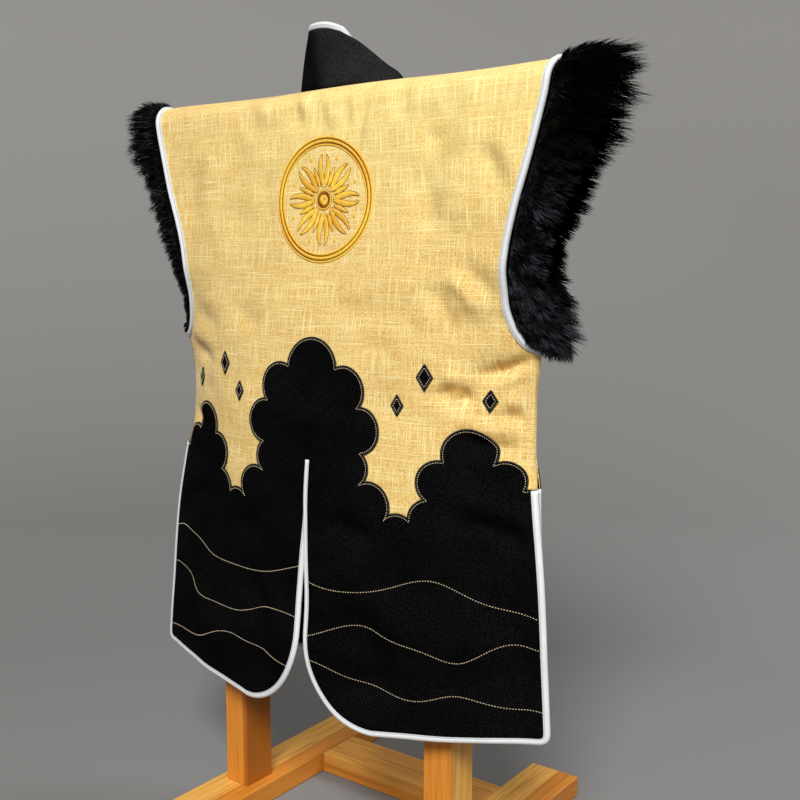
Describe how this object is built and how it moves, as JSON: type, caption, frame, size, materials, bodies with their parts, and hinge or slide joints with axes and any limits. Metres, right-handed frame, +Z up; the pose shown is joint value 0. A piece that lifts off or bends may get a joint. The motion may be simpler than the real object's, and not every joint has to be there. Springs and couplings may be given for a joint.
{
  "type": "jinbaori on wooden display stand",
  "caption": "Sleeveless samurai surcoat with a standing collar, split tails, bound edges and fur-trimmed armholes, hung over the crossbar of a plain wooden display stand.",
  "frame": {"origin": "floor level, under the middle of the bounding box, midway between the feet", "axes": "+X to the right seen from behind the garment, -Y the way its decorated back faces, +Y the wearer's front, +Z up"},
  "size_m": [0.8084, 0.6, 1.1075],
  "materials": {
    "gold_linen": "matt slubby plain weave",
    "black_twill": "matt diagonal twill",
    "silver_satin": "satin tape",
    "gold_thread": "glossy embroidery",
    "black_fur": "long soft pile",
    "pine": "clear satin oil"
  },
  "bodies": {
    "root": {"back_panel": "gold_linen", "back_dark_cloth": "black_twill", "emblem_ring": "gold_thread", "lozenge_inner_left": "black_twill", "lozenge_inner_right": "black_twill", "lozenge_middle_left": "black_twill", "lozenge_middle_right": "black_twill", "lozenge_outer_left": "black_twill", "lozenge_outer_right": "black_twill", "front_panel_left": "gold_linen", "front_panel_right": "gold_linen", "front_dark_cloth_left": "black_twill", "front_dark_cloth_right": "black_twill", "back_binding_left": "silver_satin", "back_binding_right": "silver_satin", "front_binding_left": "silver_satin", "front_binding_right": "silver_satin", "armhole_binding_left": "silver_satin", "armhole_binding_right": "silver_satin", "fur_left": "black_fur", "fur_right": "black_fur", "collar": "black_twill", "collar_binding": "silver_satin", "crossbar": "pine", "post_left": "pine", "post_right": "pine", "foot_left": "pine", "foot_right": "pine", "stretcher": "pine"}
  },
  "joints": []
}
